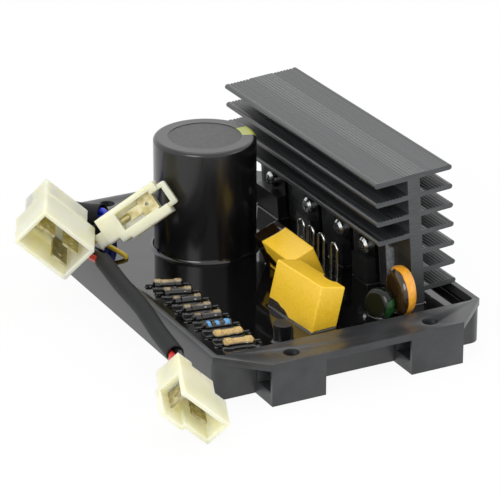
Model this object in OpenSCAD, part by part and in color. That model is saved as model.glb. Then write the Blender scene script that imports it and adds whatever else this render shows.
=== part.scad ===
// Automatic voltage regulator for a generator: a potted tray with a finned heat sink and its leads.
// Millimetres. X runs along the front, Y to the back, Z up, and the origin lies under the tray's middle.

/* [Tray] */
// Outside width of the tray along X
tray_w = 97; // [92:0.5:108]
// Outside depth of the tray along Y, without its flanges
tray_d = 125; // [122:0.5:140]
// Height of the tray from its foot to its rim
tray_h = 14.5; // [13:0.5:20]
// Thickness of the tray's walls
wall_t = 2; // [1.5:0.1:3]
// Thickness of the tray's floor
floor_t = 2; // [1.5:0.1:3]
// Radius of the tray's upright corners
corner_r = 4; // [3.5:0.5:6]
// How far the flanges reach past the front and back walls
flange_reach = 11.5; // [10:0.5:16]
// Thickness of the flanges
flange_t = 2.4; // [1.6:0.1:4]
// Width of a mounting lug along X
lug_w = 19; // [15:0.5:24]
// Spacing of the mounting holes along X
hole_pitch_x = 50; // [42:1:60]
// Distance of the mounting holes from the tray's wall
hole_out = 6; // [5.5:0.1:6.5]
// Diameter of the mounting holes
hole_d = 5.3; // [4.3:0.1:6.4]
// Width of the nut pocket in a lug
nut_w = 8.4; // [7:0.1:9]
// Height of the nut pocket in a lug
nut_h = 7.5; // [4:0.5:9]

/* [Filling] */
// How far the resin stays below the tray's rim
fill_drop = 3.6; // [2.5:0.1:4.5]
// Gap between the tray's floor and the circuit board
board_gap = 2; // [1:0.1:2.5]
// Thickness of the circuit board
board_t = 1.6; // [1:0.1:2]
// Gap between the circuit board's edge and the tray's walls
board_side = 1.5; // [0.5:0.1:3]

/* [Heat sink] */
// Length of the heat sink along Y
sink_l = 105; // [90:0.5:110]
// Distance from the tray's right wall to the middle of the web
sink_inset = 14; // [13.5:0.1:18]
// Lean of the heat sink towards the capacitor in degrees
sink_lean = 4; // [0:0.5:6]
// Thickness of the upright web
web_t = 4.5; // [3:0.1:6]
// Length of a fin from the web to its tip
fin_reach = 12; // [8:0.5:14]
// Thickness of a fin
fin_t = 1.8; // [1.2:0.1:2.6]
// Spacing of the fins
fin_pitch = 6.7; // [5.5:0.1:8]
// Number of fins on the right side
right_fins = 7; // [5:1:8]
// Number of fins on the left side
left_fins = 4; // [2:1:4]
// Gap between the tray's rim and the lowest right fin
fin_rim_gap = 0.8; // [0.5:0.1:3]
// Depth of the fine grooves along the fins
groove_depth = 0.3; // [0.1:0.05:0.5]
// Spacing of the fine grooves along the fins
groove_pitch = 1.2; // [0.8:0.1:2]

/* [Main capacitor] */
// Diameter of the main capacitor over its sleeve
cap_d = 35; // [30:0.5:36]
// Height of the main capacitor above the board
cap_h = 45; // [35:0.5:60]
// Gap between the main capacitor and the tray's back wall
cap_back_gap = 15; // [12:0.5:18]
// Gap between the main capacitor and the tray's left wall
cap_left_gap = 22.3; // [18:0.1:24]
// Thickness of the shrink sleeve
sleeve_t = 0.3; // [0.2:0.05:0.5]
// Width of the sleeve's rolled lip on the top
sleeve_lip = 5; // [1.5:0.1:6]

/* [Film capacitors] */
// Length of a film capacitor
film_l = 26.5; // [24:0.5:27.5]
// Thickness of a film capacitor
film_w = 9.6; // [8:0.1:10.5]
// Height of a film capacitor
film_h = 17; // [14:0.5:20]
// Gap between the main capacitor and the back film capacitor
film_cap_gap = 7; // [5:0.5:8]
// Gap between the two film capacitors
film_gap = 3.1; // [1.2:0.1:4]
// Lean of the back film capacitor in degrees
film_back_lean = 23; // [10:1:25]
// Lean of the front film capacitor in degrees
film_front_lean = 14; // [0:1:16]

/* [Small parts] */
// Diameter of the disc varistor
disc_d = 16.5; // [14:0.5:18]
// Thickness of the disc varistor
disc_t = 6; // [3.5:0.1:6.5]
// Diameter of the dipped capacitor
dip_d = 11; // [8:0.5:12]
// Thickness of the dipped capacitor
dip_t = 5; // [4:0.1:5.5]
// Diameter of the small electrolytic capacitor
mini_d = 6.5; // [5:0.1:7]
// Height of the small electrolytic capacitor
mini_h = 11; // [9:0.5:13]
// Diameter of a resistor
res_d = 4; // [3:0.1:4.5]
// Length of a resistor's body
res_l = 10; // [8:0.5:11]
// Spacing of the resistors along the row
res_pitch = 7.3; // [7:0.1:7.4]
// Diameter of the component legs
leg_d = 0.8; // [0.6:0.05:1]
// Diameter of the wire links
link_d = 1.1; // [0.8:0.1:1.4]
// Distance between the two legs of a wire link
link_gap = 4; // [3.5:0.1:4.5]
// Height of the wire links above the resin
link_h = 11.6; // [8:0.2:14]

/* [Power devices] */
// Width of the narrow power devices
device_w = 10.3; // [9.5:0.1:11]
// Width of the wide power device at the back
device_wide_w = 15.8; // [14:0.1:17]
// Height of a device's moulded body
device_h = 9.2; // [8:0.1:10]
// Thickness of a device over body and tab
device_t = 4.6; // [4:0.1:5]
// Thickness of a device's metal tab
tab_t = 1.3; // [0.8:0.1:1.6]
// Height of the tab above the moulded body
tab_h = 6.4; // [6:0.1:7]
// Thickness of the insulating pads
pad_t = 0.3; // [0.2:0.05:0.5]
// Diameter of the device screws
screw_d = 3; // [2.5:0.1:3.5]
// Diameter of the screw heads
head_d = 5.8; // [5:0.1:6]
// Height of the screw heads
head_h = 2.2; // [1.6:0.1:2.6]

/* [Connectors] */
// Width of a blade terminal
blade_w = 6.3; // [4.8:0.1:6.3]
// Thickness of a blade terminal
blade_t = 0.8; // [0.5:0.1:1]
// Wall thickness of the connector shrouds
shroud_t = 1.4; // [1:0.1:1.5]
// Width of connector A across its shroud
conn_a_w = 22.3; // [22:0.1:24]
// Height of connector A across its shroud
conn_a_h = 15.6; // [15:0.1:17]
// Width of connector C across its shroud
conn_c_w = 19.4; // [19:0.1:22]
// Height of connector C across its shroud
conn_c_h = 9.8; // [9.4:0.1:11]
// Width of connector B
conn_b_w = 12.3; // [11:0.1:14]
// Thickness of connector B
conn_b_h = 8.6; // [8:0.1:9]

/* [Leads] */
// Diameter of the red, black and blue leads
lead_d = 2.2; // [1.8:0.1:2.2]
// Diameter of the yellow lead
thin_lead_d = 1.6; // [1.2:0.1:1.8]
// Wall thickness of the two sleeves
tube_t = 0.45; // [0.3:0.05:0.6]
// Outside diameter of the sleeve on the leads to connector A
tube_a_d = 7.4; // [6.8:0.1:8]
// Outside diameter of the sleeve on the leads to connector C
tube_c_d = 5.7; // [5.6:0.1:6.4]

/* [Hidden] */
$fn = 48;

// Levels and the inside of the tray
fill_z = tray_h - fill_drop;
board_z = floor_t + board_gap + board_t;
inner_w = tray_w - 2 * wall_t;
inner_d = tray_d - 2 * wall_t;
inner_r = corner_r - wall_t;
lug_x = hole_pitch_x / 2;
lug_out = lug_x + lug_w / 2;
flange_y = tray_d / 2 + flange_reach;
hole_y = tray_d / 2 + hole_out;

// Heat sink, with its own origin in the web's middle at the level of the resin
sink_x = inner_w / 2 - sink_inset;
sink_back_share = 0.21875;
sink_y = sink_back_share * (inner_d - sink_l);
sink_low = fill_drop + fin_rim_gap;
sink_top = sink_low + (right_fins - 1) * fin_pitch + fin_t;
sink_foot = (board_z - fill_z + web_t / 2 * sin(sink_lean)) / cos(sink_lean);

// Power devices along the web: place along Y, body width
device_y = [0.376 * sink_l, 0.119 * sink_l, -0.09 * sink_l, -0.252 * sink_l];
device_ws = [device_wide_w, device_w, device_w, device_w];
screw_z = device_h + tab_h - 2.9;
strap_y = -0.376 * sink_l;
strap_w = 4;
strap_t = 0.8;
strap_h = 17;

// The row from the back wall to the front: its gaps close up or open with the tray's depth
row_spare = 33;
row_spread = (inner_d - cap_d - 2 * film_l) / row_spare;

// Main capacitor
cap_x = -inner_w / 2 + cap_left_gap + cap_d / 2;
cap_y = inner_d / 2 - row_spread * cap_back_gap - cap_d / 2;
cap_r = cap_d / 2;
cap_pin_pitch = 10;
can_edge = 1.4;

// Film capacitors
film_back_from_sink = 22.6;
film_front_from_sink = 38.7;
film_back_x = sink_x - film_back_from_sink;
film_back_y = cap_y - cap_r - row_spread * film_cap_gap - film_l / 2;
film_back_z = board_z + 1.2 + film_w / 2 * sin(film_back_lean);
film_front_x = sink_x - film_front_from_sink;
film_front_y = film_back_y - film_l - row_spread * film_gap;
film_front_z = board_z + 2 + film_w / 2 * sin(film_front_lean);
film_front_turn = 4.7;
film_pin_pitch = 22.5;
film_leg = 9;

// Varistor, dipped and small electrolytic capacitors in the front corner
front_y = -inner_d / 2;
disc_from_sink = 8;
disc_turn = -8;
disc_wall_gap = 1.25;
dip_from_sink = 15.1;
dip_wall_gap = 4.9;
mini_from_row = 14.3;
mini_wall_gap = 4.8;
disc_at = [sink_x - disc_from_sink, front_y + disc_wall_gap + disc_d / 2, fill_z + disc_d / 2 - 0.7];
dip_at = [sink_x - dip_from_sink, front_y + dip_wall_gap + dip_d / 2, fill_z + dip_d / 2 - 1.6];
dip_turn = [0, 12, 24];

// Resistors in a row on the left
res_from_cap = 26.9;
res_back_gap = 26;
res_x = cap_x - res_from_cap;
res_y = cap_y - res_back_gap;
res_z = fill_z + 0.6;
res_span = res_l + 4;
res_turns = [-22, -18, -12, -8, -6, -9, -7, -10];
mini_at = [res_x + mini_from_row, front_y + mini_wall_gap + mini_d / 2];

// Wire links in a row beside the heat sink
link_from_sink = 12.5;
link_steps = [18.05, 11.45, 4.15, -4.95];
link_x = sink_x - link_from_sink;
link_y = [for (step = link_steps) film_back_y + step];

// Leads and connectors hang on the tray's left rim
rim = [-tray_w / 2, 0, tray_h];

// Connector A: the middle of its rear face, its turn and its terminals as [across, up, turn, foot]
conn_a_at = rim + [-5.45, 45.7, 13.15];
conn_a_turn = [-43, 7, -115.4];
conn_a_rear = [13, 18.9, 11.1];
conn_a_shroud = [14.5, conn_a_w, conn_a_h];
conn_a_pins = [[-5.4, 2.45, 0, 0], [4.6, 2.45, 0, 0], [4.6, -3.25, 0, 0]];
conn_a_blade = conn_a_shroud[0] + 1.7;

// Connector B: the middle of its rear face and its turn
conn_b_at = rim + [1.3, 27.9, 6.3];
conn_b_turn = [67, -35, -21];
conn_b_collar = 3.2;
conn_b_body = 26.8;
conn_b_l = 29.8;
conn_b_barrel = 13.6;
conn_b_window = [10.1, 13.7, 6.4];
conn_b_aside = -0.95;
conn_b_steps = [[conn_b_collar, 2.75], [7.4, 0.75], [10.9, 0]];
conn_b_pins = [[0, 0, 0, 0]];

// Connector C: rests on the table with the corner of its mouth
conn_c_at = [-tray_w / 2 - 12.55, -69.8, 13.95];
conn_c_turn = [-44, 11, -110];
conn_c_l = 20;
conn_c_rear = 8;
conn_c_step = 1.9;
conn_c_deep = 1.4;
conn_c_pins = [[-6.4, -0.7, 90, 0], [2.9, -1.2, 0, conn_c_step]];

// Routes of the leads from the resin to the connector, measured from the rim
route_c = [[5.5, 46, -2], [5.2, 45.2, 0], [3.9, 42.6, 1.2], [1.4, 38, 1.5], [-0.4, 32, 1.35], [-1.1, 26, 1.7],
    [-1.2, 18, 2.6], [-2.2, 9.5, 2.4], [-3.2, -0.5, 1.8], [-3.9, -10, 1.6], [-4.7, -19, 1.5], [-5.9, -28, 1],
    [-7.3, -37, 0.6], [-8.6, -46, 0.7], [-9.8, -54.5, 0.8]];
route_a = [[14.4, 45.2, -2.1], [14.4, 45.3, -0.5], [14.1, 46.4, 2.7], [12.9, 48.6, 5.3], [10.2, 52.6, 4.4],
    [7.5, 56.6, 4], [4.1, 58.8, 4.7], [0.3, 57.8, 6.9], [-2.5, 54.2, 10.1]];
route_b = [[12.4, 29.5, -2.9], [11.2, 31, -1.9], [8.6, 34, -0.3], [5.3, 36.6, 2.3], [1.7, 38, 4.5], [-0.8, 37, 5.3],
    [-1.8, 34.2, 5.1], [-1.6, 31.3, 4.9]];
tube_c_from = 6;
tube_a_from = 3;
tube_a_to = 7;

// Sides of the leads and sleeves
lead_sides = 8;
tube_sides = 12;
smooth_steps = 2;

// Direction and place on a turned connector, turned about X, then Y, then Z
function unit(v) = v / norm(v);
function turn_x(v, a) = [v[0], v[1] * cos(a) - v[2] * sin(a), v[1] * sin(a) + v[2] * cos(a)];
function turn_y(v, a) = [v[0] * cos(a) + v[2] * sin(a), v[1], -v[0] * sin(a) + v[2] * cos(a)];
function turn_z(v, a) = [v[0] * cos(a) - v[1] * sin(a), v[0] * sin(a) + v[1] * cos(a), v[2]];
function turned(v, t) = turn_z(turn_y(turn_x(v, t[0]), t[1]), t[2]);

// Smooth curve through a list of points
function bend(p, i, t) =
    let (a = p[max(i - 1, 0)], b = p[i], c = p[i + 1], d = p[min(i + 2, len(p) - 1)])
    0.5 * (2 * b + (c - a) * t + (2 * a - 5 * b + 4 * c - d) * t * t + (3 * b - a - 3 * c + d) * t * t * t);
function smooth(p, k) = concat([for (i = [0:len(p) - 2]) for (j = [0:k - 1]) bend(p, i, j / k)], [p[len(p) - 1]]);

// Directions along a curve and a side vector that is carried along it without twisting
function along(q) = let (n = len(q) - 1)
    [for (i = [0:n]) i == 0 ? unit(q[1] - q[0]) : i == n ? unit(q[n] - q[n - 1]) : unit(q[i + 1] - q[i - 1])];
function carried(t, s, i = 0) = i == len(t) ? [] :
    let (m = unit(s - (s * t[i]) * t[i])) concat([m], carried(t, m, i + 1));

// A strand beside the middle route: from the resin, along the route and into its terminal
function strand(route, shift, at, turn, pin, side, straight) =
    let (r = [for (p = route) rim + p],
        c = concat([[r[0][0], r[0][1], fill_z]], r),
        t = along(c),
        s = carried(t, side),
        foot = at + turned([pin[3], pin[0], pin[1]], turn),
        lead_in = foot + turned([-straight, 0, 0], turn))
    concat([for (i = [0:len(c) - 1]) let (j = i == 1 ? 0 : i) c[i] + shift[0] * s[j] + shift[1] * cross(t[j], s[j])],
        [lead_in, foot]);

// Round lead along a curve
module lead(points, d, sides) {
    q = smooth(points, smooth_steps);
    n = len(q);
    last = len(points) - 1;
    u = along(q);
    t = [for (i = [0:n - 1]) i == 0 ? unit(points[1] - points[0]) :
        i == n - 1 ? unit(points[last] - points[last - 1]) : u[i]];
    s = carried(t, abs(t[0][0]) > 0.9 ? [0, 1, 0] : [1, 0, 0]);
    rings = [for (i = [0:n - 1]) for (j = [0:sides - 1]) let (a = 360 * j / sides)
        q[i] + d / 2 * (cos(a) * s[i] + sin(a) * cross(t[i], s[i]))];
    walls = [for (i = [0:n - 2]) for (j = [0:sides - 1]) let (k = (j + 1) % sides)
        each [[i * sides + j, (i + 1) * sides + j, (i + 1) * sides + k],
            [i * sides + j, (i + 1) * sides + k, i * sides + k]]];
    start = [[for (j = [0:sides - 1]) j]];
    end = [[for (j = [0:sides - 1]) n * sides - 1 - j]];
    polyhedron(points = rings, faces = concat(start, walls, end), convexity = 6);
}

// Hollow sleeve along a curve
module tube(points, d, bore, sides) {
    q = smooth(points, smooth_steps);
    t = along(q);
    s = carried(t, abs(t[0][0]) > 0.9 ? [0, 1, 0] : [1, 0, 0]);
    n = len(q);
    m = n * sides;
    rings = [for (r = [d / 2, bore / 2]) for (i = [0:n - 1]) for (j = [0:sides - 1]) let (a = 360 * j / sides)
        q[i] + r * (cos(a) * s[i] + sin(a) * cross(t[i], s[i]))];
    outer = [for (i = [0:n - 2]) for (j = [0:sides - 1]) let (k = (j + 1) % sides)
        each [[i * sides + j, (i + 1) * sides + j, (i + 1) * sides + k],
            [i * sides + j, (i + 1) * sides + k, i * sides + k]]];
    inner = [for (f = outer) [m + f[0], m + f[2], m + f[1]]];
    start = [for (j = [0:sides - 1]) let (k = (j + 1) % sides) each [[j, k, m + k], [j, m + k, m + j]]];
    e = (n - 1) * sides;
    end = [for (j = [0:sides - 1]) let (k = (j + 1) % sides)
        each [[e + j, m + e + k, e + k], [e + j, m + e + j, m + e + k]]];
    polyhedron(points = rings, faces = concat(outer, inner, start, end), convexity = 6);
}

// Flat rounded rectangle
module rounded(w, d, r) {
    square([w - 2 * r, d], center = true);
    square([w, d - 2 * r], center = true);
    for (sx = [-1, 1], sy = [-1, 1])
        translate([sx * (w / 2 - r), sy * (d / 2 - r)]) circle(r);
}

// Space below the top of the circuit board, where no leg reaches
module below_board() {
    translate([-tray_w, -tray_d, board_z - 4 * tray_h]) cube([2 * tray_w, 2 * tray_d, 4 * tray_h]);
}

// Outline of both flanges and the tray between them
module flange_outline() {
    polygon([[-tray_w / 2, 2 - tray_d / 2], [-lug_out, -flange_y], [lug_out, -flange_y], [tray_w / 2, 2 - tray_d / 2],
        [tray_w / 2, tray_d / 2 - 2], [lug_out, flange_y], [-lug_out, flange_y], [-tray_w / 2, tray_d / 2 - 2]]);
}

module tray() {
    color("#3a3b3c") difference() {
        union() {
            linear_extrude(tray_h) rounded(tray_w, tray_d, corner_r);
            translate([0, 0, tray_h - flange_t]) linear_extrude(flange_t) flange_outline();
            for (sx = [-1, 1], sy = [-1, 1])
                translate([sx * lug_x - lug_w / 2, sy > 0 ? tray_d / 2 - 1 : -flange_y, 0])
                    cube([lug_w, flange_reach + 1, tray_h]);
        }
        translate([0, 0, floor_t]) linear_extrude(tray_h) rounded(inner_w, inner_d, inner_r);
        for (sx = [-1, 1], sy = [-1, 1]) translate([sx * lug_x, sy * hole_y, 0]) {
            translate([0, 0, -1]) cylinder(d = hole_d, h = tray_h + 2);
            translate([-lug_w / 2 - 1, -nut_w / 2, tray_h - flange_t - nut_h])
                cube([lug_w / 2 + 1 + nut_w / 2, nut_w, nut_h]);
        }
    }
}

module circuit_board() {
    color("#7a5a2a") difference() {
        translate([0, 0, floor_t + board_gap]) linear_extrude(board_t)
            square([inner_w - 2 * board_side, inner_d - 2 * board_side], center = true);
        capacitor_pin_holes();
    }
}

// Places its children on the leaning heat sink
module on_sink() {
    translate([sink_x, sink_y, fill_z]) rotate([0, -sink_lean, 0]) children();
}

// One fin with fine grooves along its upper face, drawn to the right of the web's middle
module fin(z) {
    tip = web_t / 2 + fin_reach - fin_t / 2;
    rows = floor((fin_reach - 3) / groove_pitch);
    teeth = [for (i = [0:rows - 1]) each [[tip - 0.6 - i * groove_pitch, z + fin_t],
        [tip - 0.6 - (i + 0.5) * groove_pitch, z + fin_t - groove_depth]]];
    polygon(concat([[0, z + fin_t], [0, z], [tip, z], [tip, z + fin_t]], teeth,
        [[tip - 0.6 - rows * groove_pitch, z + fin_t]]));
    translate([tip, z + fin_t / 2]) circle(d = fin_t);
}

module sink_profile() {
    translate([-web_t / 2, sink_foot]) square([web_t, sink_top - sink_foot]);
    for (k = [0:right_fins - 1]) fin(sink_top - fin_t - k * fin_pitch);
    for (k = [0:left_fins - 1]) mirror([1, 0]) fin(sink_top - fin_t - k * fin_pitch);
}

module heat_sink() {
    color("#4a4b4d") on_sink() difference() {
        translate([0, sink_l / 2, 0]) rotate([90, 0, 0]) linear_extrude(sink_l) sink_profile();
        for (k = [0:3]) translate([-web_t, device_y[k], screw_z]) rotate([0, 90, 0]) cylinder(d = screw_d, h = 2 * web_t);
    }
}

module sink_cut() {
    on_sink() translate([-web_t / 2, -sink_l / 2, sink_foot]) cube([web_t, sink_l, 20]);
}

module capacitor_pin_holes() {
    for (s = [-1, 1]) translate([cap_x + s * cap_pin_pitch / 2, cap_y, floor_t + 0.5])
        cylinder(d = 1.6, h = board_z - floor_t - 0.5);
}

module capacitor_pins() {
    color("#c9c9c4") capacitor_pin_holes();
}

// Half outline of the main capacitor with its rounded top edge, drawn with a margin inwards
module can_outline(m) {
    r = cap_r - m;
    h = cap_h - m;
    e = can_edge - m;
    square([r, h - e]);
    square([r - e, h]);
    translate([r - e, h - e]) circle(e);
}

module capacitor_can() {
    color("#b9bbbd") translate([cap_x, cap_y, board_z]) rotate_extrude($fn = 96) can_outline(sleeve_t);
}

module capacitor_sleeve() {
    color("#1c1c1e") translate([cap_x, cap_y, board_z]) rotate_extrude($fn = 96) difference() {
        can_outline(0);
        can_outline(sleeve_t);
        square([cap_r - sleeve_lip, cap_h + 1]);
    }
}

module capacitor_disc() {
    color("#2a2a2c") translate([cap_x, cap_y, board_z + cap_h - sleeve_t])
        cylinder(r = cap_r - sleeve_lip, h = sleeve_t / 2, $fn = 96);
}

module film_body() {
    linear_extrude(film_h) rounded(film_w, film_l, 0.8);
}

module film_legs() {
    for (s = [-1, 1]) translate([0, s * film_pin_pitch / 2, -film_leg]) cylinder(d = leg_d, h = film_leg);
}

module at_film_back() {
    translate([film_back_x, film_back_y, film_back_z]) rotate([0, -film_back_lean, 0]) children();
}

module at_film_front() {
    translate([film_front_x, film_front_y, film_front_z]) rotate([0, film_front_lean, film_front_turn]) children();
}

module film_capacitor_back() {
    color("#f2c230") at_film_back() film_body();
}

module film_capacitor_front() {
    color("#f2c230") at_film_front() film_body();
}

module film_capacitor_legs() {
    color("#c9c9c4") difference() {
        union() {
            at_film_back() film_legs();
            at_film_front() film_legs();
        }
        below_board();
    }
}

// Round coated body standing on edge, with its flat sides along X
module coated_disc(d, t) {
    rotate([0, 90, 0]) rotate_extrude() {
        translate([0, -t / 2]) square([d / 2 - t / 2, t]);
        intersection() {
            translate([d / 2 - t / 2, 0]) circle(t / 2);
            translate([0, -t]) square([d, 2 * t]);
        }
    }
}

module disc_varistor() {
    color("#eba823") translate(disc_at) rotate([0, 0, disc_turn]) coated_disc(disc_d, disc_t);
}

module varistor_legs() {
    color("#c9c9c4") difference() {
        for (s = [-1, 1]) translate([disc_at[0], disc_at[1] + s * 3.75, board_z])
            cylinder(d = leg_d, h = disc_at[2] - board_z);
        disc_varistor();
    }
}

module dipped_capacitor() {
    color("#27523a") translate(dip_at) rotate(dip_turn) coated_disc(dip_d, dip_t);
}

module dipped_legs() {
    color("#c9c9c4") difference() {
        translate([dip_at[0], dip_at[1], 0]) rotate([0, 0, dip_turn[2]]) for (s = [-1, 1])
            translate([0, s * 2.5, board_z]) cylinder(d = leg_d, h = dip_at[2] - board_z);
        dipped_capacitor();
    }
}

module small_electrolytic() {
    color("#1e1e20") translate([mini_at[0], mini_at[1], board_z]) cylinder(d = mini_d, h = mini_h);
}

module at_resistor(k) {
    translate([res_x, res_y - k * res_pitch, res_z]) rotate([0, 0, res_turns[k]]) children();
}

module resistor(k) {
    color(k == 5 ? "#3f62b8" : "#c8ae80") at_resistor(k) rotate([0, 90, 0]) rotate_extrude()
        polygon([[0, -res_l / 2], [0.3 * res_d, -res_l / 2], [0.5 * res_d, 0.7 - res_l / 2], [0.5 * res_d, 2.4 - res_l / 2],
            [0.43 * res_d, 3 - res_l / 2], [0.43 * res_d, res_l / 2 - 3], [0.5 * res_d, res_l / 2 - 2.4],
            [0.5 * res_d, res_l / 2 - 0.7], [0.3 * res_d, res_l / 2], [0, res_l / 2]]);
}

module resistor_1() { resistor(0); }
module resistor_2() { resistor(1); }
module resistor_3() { resistor(2); }
module resistor_4() { resistor(3); }
module resistor_5() { resistor(4); }
module resistor_6() { resistor(5); }
module resistor_7() { resistor(6); }
module resistor_8() { resistor(7); }

module resistor_legs() {
    color("#c9c9c4") for (k = [0:7]) at_resistor(k) for (s = [-1, 1]) {
        translate([s * res_l / 2, 0, 0]) rotate([0, s * 90, 0]) cylinder(d = leg_d, h = res_span / 2 - res_l / 2);
        translate([s * res_span / 2, 0, 0]) sphere(d = leg_d);
        translate([s * res_span / 2, 0, board_z - res_z]) cylinder(d = leg_d, h = res_z - board_z);
    }
}

module wire_link(k) {
    rise = fill_z + link_h - link_gap / 2 - link_d / 2;
    color("#cfcdc6") translate([link_x, link_y[k], 0]) {
        for (s = [-1, 1]) translate([0, s * link_gap / 2, board_z]) cylinder(d = link_d, h = rise - board_z);
        translate([0, 0, rise]) rotate([90, 0, 90]) rotate_extrude(angle = 180)
            translate([link_gap / 2, 0]) circle(d = link_d);
    }
}

module wire_link_1() { wire_link(0); }
module wire_link_2() { wire_link(1); }
module wire_link_3() { wire_link(2); }
module wire_link_4() { wire_link(3); }

// Places its children on the web's left face, with the pads' thickness in between
module on_web(k, lift) {
    on_sink() translate([-web_t / 2 - lift, device_y[k], 0]) children();
}

module device_body(k) {
    color("#222325") on_web(k, pad_t) difference() {
        translate([-device_t, -device_ws[k] / 2, 0]) cube([device_t, device_ws[k], device_h]);
        translate([-tab_t, -device_ws[k] / 2 - 1, -1]) cube([tab_t + 1, device_ws[k] + 2, device_h + 2]);
        device_legs(k);
        device_link();
    }
}

// Short bridge from a device's tab to its middle leg, inside the moulded body
module device_link() {
    translate([-tab_t - 1.7, -0.45, 0]) cube([1.7, 0.9, 1]);
}

module device_legs(k) {
    for (s = [-1, 0, 1]) translate([-tab_t - 1.4, s * device_ws[k] / 4, -8]) translate([-0.3, -0.45, 0]) cube([0.6, 0.9, 9]);
}

module device_frame(k) {
    color("#b4b5b6") difference() {
        on_web(k, pad_t) {
            difference() {
                translate([-tab_t, -device_ws[k] / 2, 0]) cube([tab_t, device_ws[k], device_h + tab_h]);
                translate([-tab_t - 1, 0, screw_z]) rotate([0, 90, 0]) cylinder(d = screw_d + 0.6, h = tab_t + 2);
            }
            device_legs(k);
            device_link();
        }
        below_board();
    }
}

module device_1() { device_body(0); }
module device_2() { device_body(1); }
module device_3() { device_body(2); }
module device_4() { device_body(3); }
module device_tab_1() { device_frame(0); }
module device_tab_2() { device_frame(1); }
module device_tab_3() { device_frame(2); }
module device_tab_4() { device_frame(3); }

module device_pads() {
    color("#b9b4a6") for (k = [0:3]) on_web(k, 0) difference() {
        translate([-pad_t, -device_ws[k] / 2 - 0.8, 0]) cube([pad_t, device_ws[k] + 1.6, device_h + tab_h + 0.8]);
        translate([-pad_t - 1, 0, screw_z]) rotate([0, 90, 0]) cylinder(d = screw_d + 0.6, h = pad_t + 2);
    }
}

module device_screws() {
    color("#c4c5c6") for (k = [0:3]) on_web(k, pad_t + tab_t) translate([0, 0, screw_z]) difference() {
        rotate([0, 90, 0]) union() {
            translate([0, 0, -head_h]) cylinder(d1 = head_d - 1.6, d2 = head_d, h = 0.8);
            translate([0, 0, 0.8 - head_h]) cylinder(d = head_d, h = head_h - 0.8);
            cylinder(d = screw_d, h = pad_t + tab_t + web_t);
        }
        for (a = [0, 90]) rotate([a, 0, 0]) translate([-head_h - 1, -1.6, -0.4]) cube([2.2, 3.2, 0.8]);
    }
}

module tinned_strap() {
    color("#d9d8d2") difference() {
        on_sink() translate([-web_t / 2 - strap_t, strap_y - strap_w / 2, -8]) cube([strap_t, strap_w, strap_h + 8]);
        below_board();
    }
}

module resin() {
    color("#0f0f10") difference() {
        translate([0, 0, floor_t]) linear_extrude(fill_z - floor_t) rounded(inner_w, inner_d, inner_r);
        translate([0, 0, floor_t + board_gap]) linear_extrude(board_t)
            square([inner_w - 2 * board_side, inner_d - 2 * board_side], center = true);
        capacitor_pin_holes();
        sink_cut();
        translate([cap_x, cap_y, board_z]) cylinder(r = cap_r, h = cap_h, $fn = 96);
        film_capacitor_back();
        film_capacitor_front();
        film_capacitor_legs();
        disc_varistor();
        varistor_legs();
        dipped_capacitor();
        dipped_legs();
        small_electrolytic();
        for (k = [0:7]) resistor(k);
        resistor_legs();
        for (k = [0:3]) wire_link(k);
        for (k = [0:3]) on_web(k, pad_t) translate([-device_t, -device_ws[k] / 2, 0]) cube([device_t, device_ws[k], device_h]);
        for (k = [0:3]) device_frame(k);
        device_pads();
        tinned_strap();
    }
}

// Blade terminal along X: crimp barrel from the rear face, then the blade with its small hole
module terminal(barrel, length, turn, hole) {
    rotate([turn, 0, 0]) {
        rotate([0, 90, 0]) cylinder(d = lead_d + 0.8, h = barrel);
        difference() {
            translate([barrel, -blade_w / 2, -blade_t / 2]) cube([length, blade_w, blade_t]);
            if (hole) translate([barrel + length - 3, 0, -1]) cylinder(d = 1.7, h = 2);
        }
    }
}

// Shroud housing along X from its rear face to its open mouth
module connector_a() {
    inside = [conn_a_w - 2 * shroud_t, conn_a_h - 2 * shroud_t];
    color("#ece8d2") translate(conn_a_at) rotate(conn_a_turn) difference() {
        union() {
            rotate([90, 0, 90]) linear_extrude(conn_a_rear[0] + 1) rounded(conn_a_rear[1], conn_a_rear[2], 0.8);
            translate([conn_a_rear[0], 0, 0]) rotate([90, 0, 90]) linear_extrude(conn_a_shroud[0])
                rounded(conn_a_w, conn_a_h, 1);
        }
        translate([conn_a_rear[0] + 1.5, 0, 0]) rotate([90, 0, 90]) linear_extrude(conn_a_shroud[0])
            square(inside, center = true);
        for (p = conn_a_pins) translate([0, p[0], p[1]]) terminal(conn_a_rear[0] - 2, conn_a_blade, p[2], false);
        translate([-1, -5.4, -3.25]) rotate([90, 0, 90]) linear_extrude(conn_a_rear[0] + 4) square([6.6, 2.8], center = true);
    }
}

module connector_a_terminals() {
    color("#c7b88a") translate(conn_a_at) rotate(conn_a_turn)
        for (p = conn_a_pins) translate([0, p[0], p[1]]) terminal(conn_a_rear[0] - 2, conn_a_blade, p[2], true);
}

// Mouth of connector C: a wide shroud with a deeper part on one side, drawn with a margin inwards
module mouth_c(m) {
    w = conn_c_w / 2 - m;
    h = conn_c_h / 2 - m;
    polygon([[-w, -h - conn_c_deep], [-m, -h - conn_c_deep], [-m, -h], [w, -h], [w, h], [-w, h]]);
}

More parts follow.
